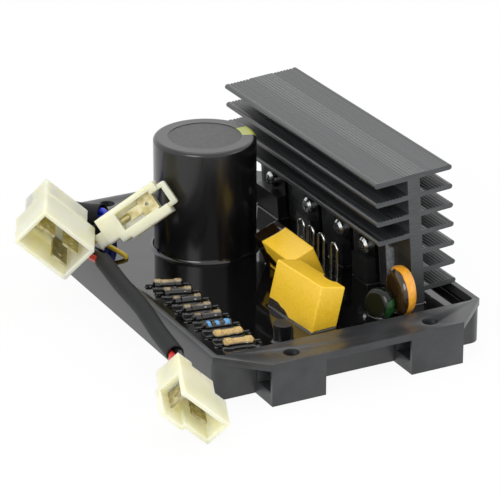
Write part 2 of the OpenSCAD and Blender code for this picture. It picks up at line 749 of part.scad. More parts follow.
module connector_c() {
    w = conn_c_w / 2;
    h = conn_c_h / 2;
    color("#ece8d2") translate(conn_c_at) rotate(conn_c_turn) difference() {
        union() {
            translate([0, -w, -h]) cube([conn_c_rear + 1, 5.9, 2 * h]);
            translate([conn_c_step, 4 - w, -h]) cube([conn_c_rear + 1 - conn_c_step, w + 1, 2 * h]);
            translate([conn_c_rear, 0, 0]) rotate([90, 0, 90]) linear_extrude(conn_c_l - conn_c_rear) mouth_c(0);
        }
        translate([conn_c_rear + 1.5, 0, 0]) rotate([90, 0, 90]) linear_extrude(conn_c_l) mouth_c(shroud_t);
        translate([conn_c_rear + 1.5, -w - 1, -4.4]) cube([conn_c_l, 2 + shroud_t, 7.7]);
        for (p = conn_c_pins) translate([p[3], p[0], p[1]]) terminal(conn_c_rear - 1 - p[3], 9.3, p[2], false);
    }
}

module connector_c_terminals() {
    color("#c7b88a") translate(conn_c_at) rotate(conn_c_turn)
        for (p = conn_c_pins) translate([p[3], p[0], p[1]]) terminal(conn_c_rear - 1 - p[3], 9.3, p[2], true);
}

// Blade terminal of connector B with its narrow neck
module small_terminal(hole) {
    rotate([0, 90, 0]) cylinder(d = thin_lead_d + 0.8, h = conn_b_barrel);
    difference() {
        union() {
            translate([conn_b_barrel - 0.5, -1.7, -blade_t / 2]) cube([6, 3.4, blade_t]);
            translate([conn_b_barrel + 4.5, -blade_w / 2, -blade_t / 2]) cube([5.6, blade_w, blade_t]);
        }
        if (hole) translate([conn_b_barrel + 7, 0, -blade_t]) cylinder(d = 1.2, h = 2 * blade_t);
    }
}

module connector_b() {
    color("#ece8d2") translate(conn_b_at) rotate(conn_b_turn) difference() {
        union() {
            translate([0, -3.9, -conn_b_h / 2 + 0.6]) cube([conn_b_collar + 1, 4.8, conn_b_h - 1.2]);
            for (step = conn_b_steps) translate([step[0], conn_b_aside + step[1] / 2, 0]) rotate([90, 0, 90])
                linear_extrude(conn_b_body - step[0]) rounded(conn_b_w - step[1], conn_b_h, 0.8);
            translate([conn_b_body - 1, conn_b_aside, -1.6]) linear_extrude(3.4)
                translate([(conn_b_l - conn_b_body + 1) / 2, 0]) rounded(conn_b_l - conn_b_body + 1, 8.7, 0.8);
        }
        translate([conn_b_body - 3.2, conn_b_aside - 2.8, -conn_b_h]) cube([conn_b_l - conn_b_body + 1.3, 5.6, 2 * conn_b_h]);
        translate([conn_b_window[0], -conn_b_window[2] / 2, 0]) cube([conn_b_window[1], conn_b_window[2], conn_b_h]);
        small_terminal(false);
    }
}

module connector_b_terminal() {
    color("#c7b88a") translate(conn_b_at) rotate(conn_b_turn) small_terminal(true);
}

module lead_sleeve_c() {
    r = [for (i = [tube_c_from:len(route_c) - 1]) rim + route_c[i]];
    color("#2b2c2e") tube(r, tube_c_d, tube_c_d - 2 * tube_t, tube_sides);
}

module lead_sleeve_a() {
    r = [for (i = [tube_a_from:tube_a_to]) rim + route_a[i]];
    color("#2b2c2e") tube(r, tube_a_d, tube_a_d - 2 * tube_t, tube_sides);
}

module lead_red() {
    color("#d8352c")
        lead(strand(route_c, [-1.2, 0], conn_c_at, conn_c_turn, conn_c_pins[0], [1, 0, 0], 4), lead_d, lead_sides);
}

module lead_black() {
    color("#1b1b1c")
        lead(strand(route_c, [1.2, 0], conn_c_at, conn_c_turn, conn_c_pins[1], [1, 0, 0], 4), lead_d, lead_sides);
}

module lead_blue_1() {
    color("#2440c8")
        lead(strand(route_a, [1.13, 0.82], conn_a_at, conn_a_turn, conn_a_pins[0], [1, 0, 0], 3), lead_d, lead_sides);
}

module lead_blue_2() {
    color("#2440c8")
        lead(strand(route_a, [0.15, -1.39], conn_a_at, conn_a_turn, conn_a_pins[1], [1, 0, 0], 3), lead_d, lead_sides);
}

module lead_blue_3() {
    color("#2440c8")
        lead(strand(route_a, [-1.28, 0.57], conn_a_at, conn_a_turn, conn_a_pins[2], [1, 0, 0], 3), lead_d, lead_sides);
}

module lead_yellow() {
    color("#e6c63a")
        lead(strand(route_b, [0, 0], conn_b_at, conn_b_turn, conn_b_pins[0], [1, 0, 0], 2.4), thin_lead_d, lead_sides);
}

tray();
resin();
circuit_board();
heat_sink();
capacitor_can();
capacitor_sleeve();
capacitor_disc();
capacitor_pins();
film_capacitor_back();
film_capacitor_front();
film_capacitor_legs();
disc_varistor();
varistor_legs();
dipped_capacitor();
dipped_legs();
small_electrolytic();
resistor_1();
resistor_2();
resistor_3();
resistor_4();
resistor_5();
resistor_6();
resistor_7();
resistor_8();
resistor_legs();
wire_link_1();
wire_link_2();
wire_link_3();
wire_link_4();
device_1();
device_2();
device_3();
device_4();
device_tab_1();
device_tab_2();
device_tab_3();
device_tab_4();
device_pads();
device_screws();
tinned_strap();
connector_a();
connector_a_terminals();
connector_b();
connector_b_terminal();
connector_c();
connector_c_terminals();
lead_sleeve_a();
lead_sleeve_c();
lead_red();
lead_black();
lead_blue_1();
lead_blue_2();
lead_blue_3();
lead_yellow();
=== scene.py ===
# %% [markdown]
# # A generator's voltage regulator
# The real thing is a shallow plastic tray filled with black epoxy. A finned heat sink, a big capacitor and
# small parts stand out of the epoxy, and three nylon connectors hang on leads over the left rim.
# The solids come from CAD and stay where they are. This lesson gives them their finish, rounds the moulded
# edges, lays the leads as real cords and adds the places where the wet epoxy crept up the parts.

# %% Load the frame
import math

import bmesh
import bpy
import numpy as np
from mathutils import Matrix, Vector
from mathutils.bvhtree import BVHTree


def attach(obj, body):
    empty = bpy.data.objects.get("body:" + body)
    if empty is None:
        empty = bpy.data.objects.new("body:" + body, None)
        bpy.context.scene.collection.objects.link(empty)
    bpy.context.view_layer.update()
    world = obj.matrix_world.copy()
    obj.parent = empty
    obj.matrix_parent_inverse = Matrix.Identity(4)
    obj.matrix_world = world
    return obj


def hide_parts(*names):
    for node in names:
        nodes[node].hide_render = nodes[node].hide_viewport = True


MM = 0.001
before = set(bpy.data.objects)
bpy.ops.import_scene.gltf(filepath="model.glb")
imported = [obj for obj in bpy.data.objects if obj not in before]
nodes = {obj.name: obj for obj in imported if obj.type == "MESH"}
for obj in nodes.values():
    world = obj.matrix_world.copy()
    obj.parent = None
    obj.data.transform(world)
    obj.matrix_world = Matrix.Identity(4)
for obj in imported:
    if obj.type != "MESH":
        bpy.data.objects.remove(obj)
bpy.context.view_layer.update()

# %% [markdown]
# ## The camera
# A long lens from the front left, a little above the part. The eye's place and the two angles of the view
# were found by lining the tray's corners up with the picture, so nothing has to be guessed by eye here.

# %% Camera
EYE = Vector((-398.4, -762.1, 387.3)) * MM
AZIMUTH = math.radians(-27.36)
ELEVATION = math.radians(23.24)
LENS_MM = 201.6
SENSOR_MM = 36
NEAREST = 0.05
FARTHEST = 20

level = math.cos(ELEVATION)
back = Vector((math.sin(AZIMUTH) * level, -math.cos(AZIMUTH) * level, math.sin(ELEVATION)))
camera = bpy.data.objects.new("camera", bpy.data.cameras.new("camera"))
camera.data.lens = LENS_MM
camera.data.sensor_width = SENSOR_MM
camera.data.clip_start = NEAREST
camera.data.clip_end = FARTHEST
camera.rotation_mode = "QUATERNION"
camera.rotation_quaternion = (-back).to_track_quat("-Z", "Y")
camera.location = EYE
bpy.context.scene.collection.objects.link(camera)
bpy.context.scene.camera = camera
print("camera", tuple(round(v, 4) for v in camera.location))

# %% [markdown]
# ## Nodes and colours
# Every finish below is a small graph of shader nodes. One function adds a node with its settings, its values
# and its links, and one turns the hex colour that a painter would pick into the linear colour Blender wants.
# Two short ones set the two colours of a ramp and link the results to the surface shader.

# %% Helpers for finishes
def linear(code):
    """A colour written as #rrggbb in sRGB, as linear RGBA."""
    parts = [int(code[i:i + 2], 16) / 255 for i in (1, 3, 5)]
    return [p / 12.92 if p <= 0.04045 else ((p + 0.055) / 1.055) ** 2.4 for p in parts] + [1]


def add(tree, kind, settings=None, values=None, links=None):
    """One shader node: its settings, the values of its sockets and what is linked to them."""
    node = tree.nodes.new("ShaderNode" + kind)
    for name, value in (settings or {}).items():
        setattr(node, name, value)
    for socket, value in (values or {}).items():
        node.inputs[socket].default_value = value
    for socket, source in (links or {}).items():
        tree.links.new(source, node.inputs[socket])
    return node


def finish(name, colour, **sockets):
    """A new material with one surface shader, its colour and the sockets that are the same all over."""
    material = bpy.data.materials.new(name)
    material.use_nodes = True
    tree = material.node_tree
    tree.nodes.clear()
    shader = add(tree, "BsdfPrincipled", values={"Base Color": linear(colour), **sockets})
    add(tree, "OutputMaterial", links={"Surface": shader.outputs[0]})
    return material, tree, shader


def set_stops(ramp, *stops):
    """Sets the stops of a colour ramp, each a place from 0 to 1 and a hex colour."""
    for element, (place, code) in zip(ramp.color_ramp.elements, stops):
        element.position = place
        element.color = linear(code)


def feed(tree, shader, sources):
    """Links the first output of each source node to a socket of the surface shader."""
    for socket, source in sources.items():
        tree.links.new(source.outputs[0], shader.inputs[socket])


def per_metre(size_mm):
    """How many times a pattern of this size repeats in a metre."""
    return 1 / (size_mm * MM)


print("white is", linear("#ffffff"))

# %% [markdown]
# ## Soft vinyl on the leads
# Lead insulation is extruded vinyl: even colour, a soft sheen, and a very slight unevenness from the die.
# Each colour gets the same surface, so the finishes are made in one loop. The unevenness is drawn at 4 mm,
# because the real grain is too fine to show at this size.

# %% Lead insulation
DIE_MARKS_MM = 4
LEAD_COLOURS = {"red": "#d93a2e", "black": "#1a1a1b", "blue": "#2338c4", "yellow": "#e3c33c"}

vinyl = {}
for shade, code in LEAD_COLOURS.items():
    material, tree, shader = finish(f"{shade} extruded vinyl", code, Roughness=0.38, IOR=1.53)
    place = add(tree, "TexCoord").outputs["Object"]
    marks = add(tree, "TexNoise", values={"Scale": per_metre(DIE_MARKS_MM), "Detail": 3},
                links={"Vector": place})
    dull = add(tree, "MapRange", values={"To Min": 0.3, "To Max": 0.48}, links={"Value": marks.outputs[0]})
    bright = add(tree, "MapRange", values={"To Min": 0.86, "To Max": 1.12}, links={"Value": marks.outputs[0]})
    tone = add(tree, "HueSaturation", values={"Color": linear(code)}, links={"Value": bright.outputs[0]})
    feed(tree, shader, {"Base Color": tone, "Roughness": dull})
    vinyl[shade] = material
print("insulation:", list(vinyl))

# %% [markdown]
# ## Vinyl sleeving
# The sleeves over the leads are black vinyl too, but rubbed matt, so they mirror little of the room. Their
# tone drifts between black and charcoal. The drift is drawn at 2.5 mm, coarser than the real grain.

# %% Sleeving
SLEEVING_GRAIN_MM = 2.5
sleeving, tree, shader = finish("charcoal vinyl sleeving", "#18191b", Roughness=0.66, IOR=1.53)
shader.inputs["Specular IOR Level"].default_value = 0.22
place = add(tree, "TexCoord").outputs["Object"]
grain = add(tree, "TexNoise", values={"Scale": per_metre(SLEEVING_GRAIN_MM), "Detail": 4},
            links={"Vector": place})
dull = add(tree, "MapRange", values={"To Min": 0.58, "To Max": 0.76}, links={"Value": grain.outputs[0]})
tone = add(tree, "ValToRGB", links={"Fac": grain.outputs[0]})
set_stops(tone, (0, "#121314"), (1, "#1f2022"))
feed(tree, shader, {"Base Color": tone, "Roughness": dull})
print(sleeving.name)

# %% [markdown]
# ## The leads
# Six leads come up out of the epoxy and go to three connectors. The red and the black one run along the left
# rim in a sleeve, three blue ones turn back in a wider sleeve, and a thin yellow one makes a short bow.
# The routes are the ones the solids were swept along, so the cords lie exactly where the solids are. They are
# written in millimetres from the middle of the left rim. A connector has a place and three turns in degrees.

# %% Routes of the leads
RIM = np.array([-48.5, 0, 14.5])
FILL_Z = 10.9
LEAD_D = 2.2
THIN_LEAD_D = 1.6
ROUTE_C = [[5.5, 46, -2], [5.2, 45.2, 0], [3.9, 42.6, 1.2], [1.4, 38, 1.5], [-0.4, 32, 1.35], [-1.1, 26, 1.7],
    [-1.2, 18, 2.6], [-2.2, 9.5, 2.4], [-3.2, -0.5, 1.8], [-3.9, -10, 1.6], [-4.7, -19, 1.5], [-5.9, -28, 1],
    [-7.3, -37, 0.6], [-8.6, -46, 0.7], [-9.8, -54.5, 0.8]]
ROUTE_A = [[14.4, 45.2, -2.1], [14.4, 45.3, -0.5], [14.1, 46.4, 2.7], [12.9, 48.6, 5.3], [10.2, 52.6, 4.4],
    [7.5, 56.6, 4], [4.1, 58.8, 4.7], [0.3, 57.8, 6.9], [-2.5, 54.2, 10.1]]
ROUTE_B = [[12.4, 29.5, -2.9], [11.2, 31, -1.9], [8.6, 34, -0.3], [5.3, 36.6, 2.3], [1.7, 38, 4.5],
    [-0.8, 37, 5.3], [-1.8, 34.2, 5.1], [-1.6, 31.3, 4.9]]
CONN_A = (RIM + [-5.45, 45.7, 13.15], (-43, 7, -115.4))
CONN_B = (RIM + [1.3, 27.9, 6.3], (67, -35, -21))
CONN_C = (np.array([-61.05, -69.8, 13.95]), (-44, 11, -110))
print("points on the routes:", len(ROUTE_A), len(ROUTE_B), len(ROUTE_C))

# %% [markdown]
# ## Curves in space
# A lead beside a route needs a frame at every point: the way ahead, and a side that is carried along without
# twisting. A Catmull-Rom curve then goes smoothly through all the points, as a limp lead does.

# %% Helpers for curves
def unit(v):
    """A vector of length one."""
    return v / np.linalg.norm(v)


def turned(v, turn):
    """A direction turned about X, then Y, then Z by degrees."""
    x, y, z = (math.radians(a) for a in turn)
    spin = Matrix.Rotation(z, 3, "Z") @ Matrix.Rotation(y, 3, "Y") @ Matrix.Rotation(x, 3, "X")
    return np.array(spin @ Vector(v))


def along(line):
    """The direction at each point of a line."""
    last = len(line) - 1
    return [unit(line[min(i + 1, last)] - line[max(i - 1, 0)]) for i in range(last + 1)]


def carried(directions):
    """A side vector that starts along X and is carried along the directions without twisting."""
    side = np.array([1.0, 0, 0])
    sides = []
    for t in directions:
        side = unit(side - (side @ t) * t)
        sides.append(side)
    return sides


def smooth(points, steps):
    """A Catmull-Rom curve through the points."""
    p = np.array(points, float)
    last = len(p) - 1
    line = []
    for i in range(last):
        a, b, c, d = p[max(i - 1, 0)], p[i], p[i + 1], p[min(i + 2, last)]
        square = 2 * a - 5 * b + 4 * c - d
        cube = 3 * b - a - 3 * c + d
        for t in np.arange(steps) / steps:
            line.append(0.5 * (2 * b + (c - a) * t + square * t ** 2 + cube * t ** 3))
    return np.array(line + [p[last]])


def length_of(points):
    """The length of a line through points."""
    return float(np.linalg.norm(np.diff(points, axis=0), axis=1).sum())


print(f"route to connector C: {length_of(np.array(ROUTE_C)):.1f} mm")

# %% [markdown]
# ## Each lead beside its route
# The leads to one connector share a route and lie side by side on it. Each starts straight up out of the
# epoxy and ends at the foot of its own terminal, after a short straight run into the connector.

# %% Strands
def strand(route, shift, connector, terminal, straight):
    """One lead beside the middle route: out of the epoxy, along the route and into its terminal."""
    at, turn = connector
    line = RIM + np.array(route)
    line = np.vstack([[line[0][0], line[0][1], FILL_Z], line])
    t = along(line)
    s = carried(t)
    moved = []
    for i, p in enumerate(line):
        k = 0 if i == 1 else i  # the first two points share a frame, so the lead starts straight
        moved.append(p + shift[0] * s[k] + shift[1] * np.cross(t[k], s[k]))
    across, up, ahead = terminal
    foot = at + turned((ahead, across, up), turn)
    lead_in = foot + turned((-straight, 0, 0), turn)
    return np.array(moved + [lead_in, foot])


# A row holds the route, the shift beside it, the connector, the terminal's foot in it (across, up and ahead)
# and the straight run, in millimetres.
LEADS = {
    "lead_red": (ROUTE_C, (-1.2, 0), CONN_C, (-6.4, -0.7, 0), 4),
    "lead_black": (ROUTE_C, (1.2, 0), CONN_C, (2.9, -1.2, 1.9), 4),
    "lead_blue_1": (ROUTE_A, (1.13, 0.82), CONN_A, (-5.4, 2.45, 0), 3),
    "lead_blue_2": (ROUTE_A, (0.15, -1.39), CONN_A, (4.6, 2.45, 0), 3),
    "lead_blue_3": (ROUTE_A, (-1.28, 0.57), CONN_A, (4.6, -3.25, 0), 3),
    "lead_yellow": (ROUTE_B, (0, 0), CONN_B, (0, 0, 0), 2.4),
}
leads = {name: strand(*row) for name, row in LEADS.items()}
print({name: len(line) for name, line in leads.items()})

# %% [markdown]
# ## Cords
# A curve with a round bevel is the simplest true cord: it has a middle line of its own and an even thickness.
# Every new piece rides on the part's only body, carries its own finish and, if it stands
# for a solid, hides that solid.

# %% Cords
CURVE_STEPS = 6
BEVEL_STEPS = 4


def link(obj):
    """Puts an object into the scene."""
    bpy.context.scene.collection.objects.link(obj)
    return obj


def new_piece(name, data, node=None):
    """A piece of the part, which stands for a solid if one is named."""
    piece = link(bpy.data.objects.new(name, data))
    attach(piece, "root")
    if node:
        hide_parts(node)
    return piece


def cord_piece(name, line, diameter):
    """A round cord along a line in millimetres, standing for the solid of the same name."""
    curve = bpy.data.curves.new(name, "CURVE")
    curve.dimensions = "3D"
    curve.bevel_depth = diameter / 2 * MM
    curve.bevel_resolution = BEVEL_STEPS
    curve.use_fill_caps = True
    points = smooth(line, CURVE_STEPS) * MM
    spline = curve.splines.new("POLY")
    spline.points.add(len(points) - 1)
    for point, place in zip(spline.points, points):
        point.co = (*place, 1)
    spline.use_smooth = True
    shade = name.split("_")[1]
    curve.materials.append(vinyl[shade])
    return new_piece(name + "_cord", curve, name), points


thickness = {name: THIN_LEAD_D if name == "lead_yellow" else LEAD_D for name in leads}
for name, line in leads.items():
    cord_piece(name, line, thickness[name])

# %% [markdown]
# ## The sleeves
# The two sleeves are open tubes, and their cut ends show the leads inside. A tube with an outer and an inner
# wall is swept by hand along the same route, because a bevelled curve would be closed or have no wall. Each
# ring of points is a station: a point of the line, a radius and a shift along the line. The stations go along
# the outside and back along the inside, with a small chamfer at both cut ends.

# %% Sleeves
TUBE_WALL = 0.45
TUBE_CHAMFER = 0.12
TUBE_SIDES = 28
SLEEVE_C_D = 5.7
SLEEVE_A_D = 7.4


def sleeve_piece(name, route, diameter):
    """An open tube along a route, standing for the solid of the same name."""
    line = smooth(RIM + np.array(route), CURVE_STEPS)
    t = along(line)
    s = carried(t)
    last = len(line) - 1
    outer = diameter / 2
    inner = outer - TUBE_WALL
    shifts = [TUBE_CHAMFER] + [0] * (last - 1) + [-TUBE_CHAMFER]
    stations = [(0, inner, 0), (0, outer - TUBE_CHAMFER, 0)]
    stations += [(i, outer, shifts[i]) for i in range(last + 1)]
    stations += [(last, outer - TUBE_CHAMFER, 0)]
    stations += [(i, inner, 0) for i in range(last, 0, -1)]
    bm = bmesh.new()
    rings = []
    for i, radius, shift in stations:
        ring = []
        for k in range(TUBE_SIDES):
            a = 2 * math.pi * k / TUBE_SIDES
            spoke = math.cos(a) * s[i] + math.sin(a) * np.cross(t[i], s[i])
            ring.append(bm.verts.new((line[i] + shift * t[i] + radius * spoke) * MM))
        rings.append(ring)
    for one, two in zip(rings, rings[1:] + rings[:1]):
        for k in range(TUBE_SIDES):
            m = (k + 1) % TUBE_SIDES
            bm.faces.new((one[k], one[m], two[m], two[k]))
    bmesh.ops.recalc_face_normals(bm, faces=bm.faces)
    mesh = bpy.data.meshes.new(name)
    bm.to_mesh(mesh)
    bm.free()
    mesh.shade_smooth()
    mesh.materials.append(sleeving)
    print(f"{name}: {len(mesh.polygons)} faces")
    return new_piece(name + "_tube", mesh, name)


sleeve_c = sleeve_piece("lead_sleeve_c", ROUTE_C[6:], SLEEVE_C_D)
sleeve_a = sleeve_piece("lead_sleeve_a", ROUTE_A[3:8], SLEEVE_A_D)

# %% [markdown]
# ## Moulded edges
# CAD edges are perfectly sharp, and real moulded edges never are: they catch a thin line of light. A rounded
# copy of the solid is made: its points are welded, flat neighbours joined, and each sharp edge bevelled by a
# fraction of a millimetre. The copy stays inside the solid, so no size changes.

# %% Rounded copies
WELD = 0.002 * MM
FLAT_ANGLE = math.radians(0.5)
SMOOTH_ANGLE = math.radians(30)


def rounded_copy(node, edge_mm, material, segments=2, sharp=35):
    """A copy of a solid with bevels on all edges that turn by more than sharp degrees."""
    bm = bmesh.new()
    bm.from_mesh(nodes[node].data)
    bmesh.ops.remove_doubles(bm, verts=bm.verts, dist=WELD)
    bmesh.ops.dissolve_limit(bm, angle_limit=FLAT_ANGLE, verts=bm.verts, edges=bm.edges)
    inner_edges = [e for e in bm.edges if len(e.link_faces) == 2]
    edges = [e for e in inner_edges if e.calc_face_angle(0) > math.radians(sharp)]
    bmesh.ops.bevel(bm, geom=edges, offset=edge_mm * MM, segments=segments, profile=0.5, affect="EDGES",
                    clamp_overlap=True)
    mesh = bpy.data.meshes.new(node)
    bm.to_mesh(mesh)
    bm.free()
    mesh.shade_smooth()
    mesh.set_sharp_from_angle(angle=SMOOTH_ANGLE)
    mesh.materials.append(material)
    print(f"{node}: {len(mesh.polygons)} faces with its edges rounded")
    return new_piece(node + "_rounded", mesh, node)


def dress(material, *names):
    """Gives CAD solids their finish and leaves their shape alone."""
    for name in names:
        slots = nodes[name].data.materials
        slots.clear()
        slots.append(material)
    print(material.name, "on", len(names), "solids")


# %% [markdown]
# ## Natural nylon
# The connector shells are moulded in natural nylon: a cream, slightly waxy plastic that lets some light in.
# A little light under the surface gives the warm depth inside the mouths. The moulding leaves faint clouds
# of tone, drawn at 9 mm, and a soft unevenness of the gloss.

# %% Nylon shells
CLOUD_MM = 9
LIGHT_DEPTH_MM = 8
SHELL_EDGE_MM = 0.3
nylon, tree, shader = finish("natural moulded nylon", "#dcd8b6", Roughness=0.42, IOR=1.53)
shader.inputs["Subsurface Weight"].default_value = 1
shader.inputs["Subsurface Radius"].default_value = (1.0, 0.85, 0.5)
shader.inputs["Subsurface Scale"].default_value = LIGHT_DEPTH_MM * MM
place = add(tree, "TexCoord").outputs["Object"]
clouds = add(tree, "TexNoise", values={"Scale": per_metre(CLOUD_MM), "Detail": 3}, links={"Vector": place})
tone = add(tree, "ValToRGB", links={"Fac": clouds.outputs[0]})
set_stops(tone, (0.3, "#dcd8b4"), (0.7, "#e6e3c9"))
dull = add(tree, "MapRange", values={"To Min": 0.36, "To Max": 0.52}, links={"Value": clouds.outputs[0]})
feed(tree, shader, {"Base Color": tone, "Roughness": dull})

shells = {k: rounded_copy(f"connector_{k}", SHELL_EDGE_MM, nylon) for k in "abc"}

# %% [markdown]
# ## Tinned brass blades
# The blades are stamped brass with a thin tin coat, which looks pale and a little yellow where it is worn,
# with fine pits and scratches from the press. These are drawn 0.35 mm apart so that they show.

# %% Blades
WORN_MM = 2.2
SCRATCH_MM = 0.35
SCRATCH_DEPTH_MM = 0.05
brass, tree, shader = finish("tinned brass", "#c9bf9e", Metallic=1, Roughness=0.55)
place = add(tree, "TexCoord").outputs["Object"]
worn = add(tree, "TexNoise", values={"Scale": per_metre(WORN_MM), "Detail": 5}, links={"Vector": place})
scratch = add(tree, "TexNoise", values={"Scale": per_metre(SCRATCH_MM), "Detail": 2}, links={"Vector": place})
tone = add(tree, "ValToRGB", links={"Fac": worn.outputs[0]})
set_stops(tone, (0.35, "#9d9264"), (0.65, "#c3bc9a"))
bump = add(tree, "Bump", values={"Strength": 0.25, "Distance": SCRATCH_DEPTH_MM * MM},
           links={"Height": scratch.outputs[0]})
feed(tree, shader, {"Base Color": tone, "Normal": bump})
dress(brass, "connector_a_terminals", "connector_b_terminal", "connector_c_terminals")

# %% [markdown]

# %% [markdown]
# ## The tray
# The tray is moulded in black engineering plastic with a satin surface. It looks dark grey where it mirrors
# the bright room. Fine spark texture from the mould, drawn at 0.6 mm, breaks up the gloss, and faint scuffs
# about 12 mm long make the walls less even.

# %% Tray
SPARK_MM = 0.6
SPARK_DEPTH_MM = 0.04
SCUFF_MM = 12
TRAY_EDGE_MM = 0.35
tray_plastic, tree, shader = finish("black moulded polyamide", "#2c2d2f", Roughness=0.34, IOR=1.53)
place = add(tree, "TexCoord").outputs["Object"]
spark = add(tree, "TexNoise", values={"Scale": per_metre(SPARK_MM), "Detail": 3}, links={"Vector": place})
scuff = add(tree, "TexNoise", values={"Scale": per_metre(SCUFF_MM), "Detail": 6, "Roughness": 0.62},
            links={"Vector": place})
tone = add(tree, "ValToRGB", links={"Fac": scuff.outputs[0]})
set_stops(tone, (0.35, "#252628"), (0.7, "#38393b"))
dull = add(tree, "MapRange", values={"To Min": 0.26, "To Max": 0.44}, links={"Value": scuff.outputs[0]})
bump = add(tree, "Bump", values={"Strength": 0.12, "Distance": SPARK_DEPTH_MM * MM},
           links={"Height": spark.outputs[0]})
feed(tree, shader, {"Base Color": tone, "Roughness": dull, "Normal": bump})

rounded_copy("tray", TRAY_EDGE_MM, tray_plastic)

# %% [markdown]
# ## Black anodised aluminium
# The heat sink is an extrusion: aluminium pressed through a die and dyed black while its oxide skin grew. The
# skin is an oxide, so it is no bare metal: dark, satin, with the oxide's own refraction, and bright only at a
# flat angle. The die leaves fine lines along the profile, a hundred times as long as they are wide.

# %% Anodised skin
DIE_LINE_MM = 0.9
DIE_LINE_DEPTH_MM = 0.04
DIE_STRETCH = (1, 0.01, 1)
anodised, tree, shader = finish("black anodised aluminium", "#1c1d1e", Roughness=0.38, IOR=1.7)
place = add(tree, "TexCoord").outputs["Object"]
stretch = add(tree, "Mapping", values={"Scale": DIE_STRETCH}, links={"Vector": place})
lines = add(tree, "TexNoise", values={"Scale": per_metre(DIE_LINE_MM), "Detail": 3},
            links={"Vector": stretch.outputs[0]})
skin = add(tree, "ValToRGB", links={"Fac": lines.outputs[0]})
set_stops(skin, (0.3, "#1b1c1d"), (0.7, "#343638"))
dull = add(tree, "MapRange", values={"To Min": 0.3, "To Max": 0.44}, links={"Value": lines.outputs[0]})
bump = add(tree, "Bump", values={"Strength": 0.3, "Distance": DIE_LINE_DEPTH_MM * MM},
           links={"Height": lines.outputs[0]})
feed(tree, shader, {"Base Color": skin, "Roughness": dull, "Normal": bump})
print(anodised.name)

# %% [markdown]
# ## Sawn ends and shallow ribs
# The extrusion is sawn to length, and its ends show dull grey metal with the saw's marks. The grooves near
# the fins' tips are cut in the solid. Over the web they are shallower, so the flat stretches there get the
# black skin with a wave in its bump. A wave texture of scale 1 repeats every tenth of pi metres.

# %% Sawn ends and ribbed skin
SAW_MM = 0.5
SAW_DEPTH_MM = 0.05
SAW_STRETCH = (0.08, 1, 1)
RIB_MM = 1.2
RIB_DEPTH_MM = 0.16
WAVE_LENGTH = math.pi / 10
sawn, tree, shader = finish("sawn aluminium", "#5b5d5e", Metallic=1, Roughness=0.5)
place = add(tree, "TexCoord").outputs["Object"]
stretch = add(tree, "Mapping", values={"Scale": SAW_STRETCH}, links={"Vector": place})
marks = add(tree, "TexNoise", values={"Scale": per_metre(SAW_MM), "Detail": 3},
            links={"Vector": stretch.outputs[0]})
cut = add(tree, "ValToRGB", links={"Fac": marks.outputs[0]})
set_stops(cut, (0, "#484a4b"), (1, "#666869"))
bump = add(tree, "Bump", values={"Strength": 0.4, "Distance": SAW_DEPTH_MM * MM},
           links={"Height": marks.outputs[0]})
feed(tree, shader, {"Base Color": cut, "Normal": bump})

ribbed = anodised.copy()
ribbed.name = "ribbed anodised aluminium"
tree = ribbed.node_tree
ribs = add(tree, "TexWave", {"wave_profile": "TRI"}, {"Scale": WAVE_LENGTH / (RIB_MM * MM)},
           {"Vector": tree.nodes["Texture Coordinate"].outputs["Object"]})
bump = add(tree, "Bump", values={"Strength": 1, "Distance": RIB_DEPTH_MM * MM},
           links={"Height": ribs.outputs["Fac"], "Normal": tree.nodes["Bump"].outputs[0]})
feed(tree, tree.nodes["Principled BSDF"], {"Normal": bump})
print(sawn.name, "and", ribbed.name)

# %% [markdown]
# ## The heat sink
# A rounded copy gives the fins their soft edges. Its faces then choose between the three finishes: the ends
# are sawn, wide faces that look up are ribbed, and the rest is the plain black skin.

# %% Heat sink
SINK_EDGE_MM = 0.12
SINK_SHARP = 40
FACING = 0.9
FLAT_AREA = 60 * MM * MM
PLAIN, SAWN, RIBBED = range(3)
heat_sink = rounded_copy("heat_sink", SINK_EDGE_MM, anodised, 1, SINK_SHARP)
heat_sink.data.materials.append(sawn)
heat_sink.data.materials.append(ribbed)
flats = 0
for face in heat_sink.data.polygons:
    face.material_index = SAWN if abs(face.normal.y) > FACING else PLAIN
    if face.normal.z > FACING and face.area > FLAT_AREA:
        face.material_index = RIBBED
        flats += 1
print("heat sink:", flats, "ribbed flats")

# %% [markdown]
# ## Shrink sleeve on the capacitors
# The big capacitor wears a black shrink sleeve: thin glossy vinyl that follows the can and rolls over its top
# edge. A pale green bar runs down the side away from the leads and marks one pole. The bar is a matter of
# angle round the can, so the finish measures that angle from the can's middle. The sleeve shrank a little
# unevenly, in waves of about 14 mm. The small electrolytic wears the same sleeve.

# %% Shrink sleeve
CAP_X = -6.7
CAP_Y = 28.0
BAR_ANGLE = math.radians(-9)
BAR_HALF = math.radians(15.4)
BAR_EDGE = 0.94
SHRINK_WAVE_MM = 14
SHRINK_WAVE_HEIGHT_MM = 0.4
shrink, tree, shader = finish("black shrink sleeve", "#111113", Roughness=0.2, IOR=1.53)
place = add(tree, "TexCoord").outputs["Object"]
centred = add(tree, "Mapping", values={"Location": (-CAP_X * MM, -CAP_Y * MM, 0)}, links={"Vector": place})
axes = add(tree, "SeparateXYZ", links={"Vector": centred.outputs[0]})
angle = add(tree, "Math", {"operation": "ARCTAN2"}, links={0: axes.outputs["Y"], 1: axes.outputs["X"]})
away = add(tree, "Math", {"operation": "SUBTRACT"}, {1: BAR_ANGLE}, {0: angle.outputs[0]})
size = add(tree, "Math", {"operation": "ABSOLUTE"}, links={0: away.outputs[0]})
bar = add(tree, "MapRange", values={"From Min": BAR_HALF, "From Max": BAR_HALF * BAR_EDGE},
          links={"Value": size.outputs[0]})
